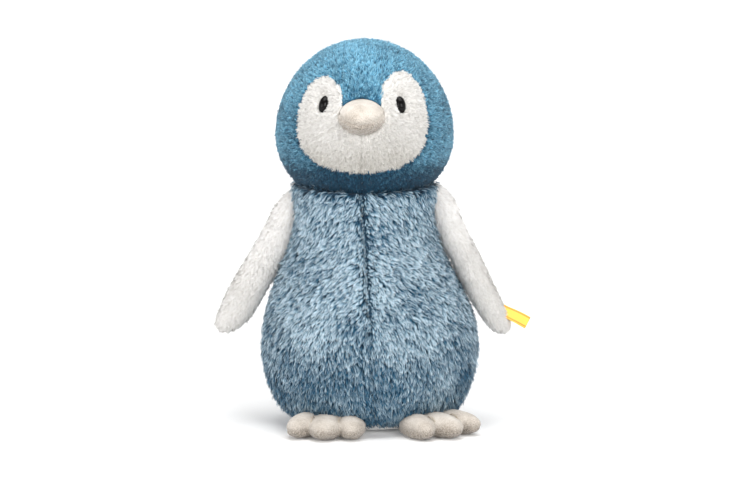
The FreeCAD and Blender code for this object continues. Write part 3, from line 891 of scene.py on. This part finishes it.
# ---------------------------------------------------------------- feet
def make_foot(side):
    nodes = ["foot_top_" + side, "foot_sole_" + side, "foot_filling_" + side]
    skin = soft_copy("foot_skin_" + side, nodes, 0.9 * MM, 7, FOOT_VELOUR)
    points = coordinates(skin.data)
    normals = coordinates(skin.data, "normal")
    seam_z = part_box("foot_sole_" + side)[1].z
    seam = 0.6 * MM * np.exp(-((points[:, 2] - seam_z) / (0.9 * MM)) ** 2)
    nap = waves(points, 0.0035, 71) * 0.45 * MM * smoothstep(seam_z + 0.5 * MM, seam_z - 1 * MM, points[:, 2])
    points += normals * (waves(points, 0.012, 61 + SIDES[side]) * 0.35 * MM + nap - seam)[:, None]
    points[:, 2] = np.maximum(points[:, 2], 0.1 * MM)
    move_points(skin, points)
    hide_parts(*nodes)
    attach(skin, "foot_" + side)


# ---------------------------------------------------------------- pieces that stay as the CAD made them
def finish_inner_pieces():
    finishes = {
        "body_filling": FIBRE, "head_filling": FIBRE, "beak_filling": FIBRE, "pellet_pouch": POUCH,
        "pellet_fill": PELLETS, "closing_thread": BLUE_THREAD, "neck_thread": BLUE_THREAD,
        "eye_washer_left": WASHER, "eye_washer_right": WASHER, "wing_thread_left": WHITE_THREAD,
        "wing_thread_right": WHITE_THREAD, "toe_thread_left": BEIGE_THREAD, "toe_thread_right": BEIGE_THREAD,
    }
    for name, material in finishes.items():
        obj = frame["nodes"][name]
        for slot_ in obj.material_slots:
            slot_.material = material


# ---------------------------------------------------------------- room, light and camera
FLOOR_HALF = 8.0
FLOOR_GLOW = {"From Min": 0.25, "From Max": 1.4, "To Min": 0.08, "To Max": 0.6}


def area_light(name, place, aim, size, power):
    data = bpy.data.lights.new(name, "AREA")
    data.shape = "RECTANGLE"
    data.size, data.size_y = size
    data.energy = power
    light = bpy.data.objects.new(name, data)
    light.location = place
    light.rotation_euler = (Vector(aim) - Vector(place)).to_track_quat("-Z", "Y").to_euler()
    bpy.context.scene.collection.objects.link(light)


def make_room():
    floor_material, tree, shader = new_material("floor_white")
    where = tree.nodes.new("ShaderNodeTexCoord")
    noise = node(tree, "ShaderNodeTexNoise", Scale=3.0)
    tree.links.new(where.outputs["Object"], noise.inputs["Vector"])
    tone = ramp(tree, noise.outputs["Fac"], [(0.3, (0.93, 0.93, 0.93)), (0.7, (0.95, 0.95, 0.95))])
    tree.links.new(tone, shader.inputs["Base Color"])
    shader.inputs["Roughness"].default_value = 0.9
    away = tree.nodes.new("ShaderNodeVectorMath")
    away.operation = "LENGTH"
    tree.links.new(where.outputs["Object"], away.inputs[0])
    glow = node(tree, "ShaderNodeMapRange")
    for socket, value in FLOOR_GLOW.items():
        glow.inputs[socket].default_value = value
    tree.links.new(away.outputs["Value"], glow.inputs["Value"])
    tree.links.new(glow.outputs["Result"], shader.inputs["Emission Strength"])
    shader.inputs["Emission Color"].default_value = (1, 1, 1, 1)
    points = [(x * FLOOR_HALF, y * FLOOR_HALF, 0) for x, y in ((-1, -1), (1, -1), (1, 1), (-1, 1))]
    floor = mesh_from("floor", points, [(0, 1, 2, 3)], floor_material)
    make_world()
    middle = (0, 0, 0.15)
    area_light("top", (0.1, -0.3, 1.8), middle, (1.5, 1.1), 22)
    area_light("key", (0.9, -1.9, 1.1), middle, (0.9, 0.9), 20)
    area_light("fill", (-1.5, -1.5, 0.8), middle, (1.0, 1.0), 13)
    bpy.context.scene.view_settings.view_transform = "Standard"


def make_world():
    """A soft white studio: bright round the horizon, dimmer overhead."""
    world = bpy.data.worlds.new("studio")
    world.use_nodes = True
    tree = world.node_tree
    where = tree.nodes.new("ShaderNodeTexCoord")
    parts = tree.nodes.new("ShaderNodeSeparateXYZ")
    tree.links.new(where.outputs["Generated"], parts.inputs[0])
    sky = ramp(tree, parts.outputs["Z"], [(0.3, (1, 1, 1)), (0.6, (0.45, 0.45, 0.45))])
    tree.links.new(sky, tree.nodes["Background"].inputs["Color"])
    tree.nodes["Background"].inputs["Strength"].default_value = 1.0
    bpy.context.scene.world = world


def make_camera():
    distance, elevation, azimuth = 2.4, math.radians(7), math.radians(1.8)
    frame_width = 0.5794
    target = Vector((4 * MM, 0, cad_box[1][2] * 0.4835))
    data = bpy.data.cameras.new("camera")
    data.sensor_width = 36
    data.lens = data.sensor_width * distance / frame_width
    camera = bpy.data.objects.new("camera", data)
    direction = Vector((math.sin(azimuth) * math.cos(elevation), -math.cos(azimuth) * math.cos(elevation),
                        math.sin(elevation)))
    camera.location = target + direction * distance
    camera.rotation_euler = (-direction).to_track_quat("-Z", "Y").to_euler()
    bpy.context.scene.collection.objects.link(camera)
    bpy.context.scene.camera = camera


make_torso()
make_head()
make_eyes()
make_beak()
for wing_side in SIDES:
    make_wing(wing_side)
    make_foot(wing_side)
make_label()
finish_inner_pieces()
make_room()
make_camera()
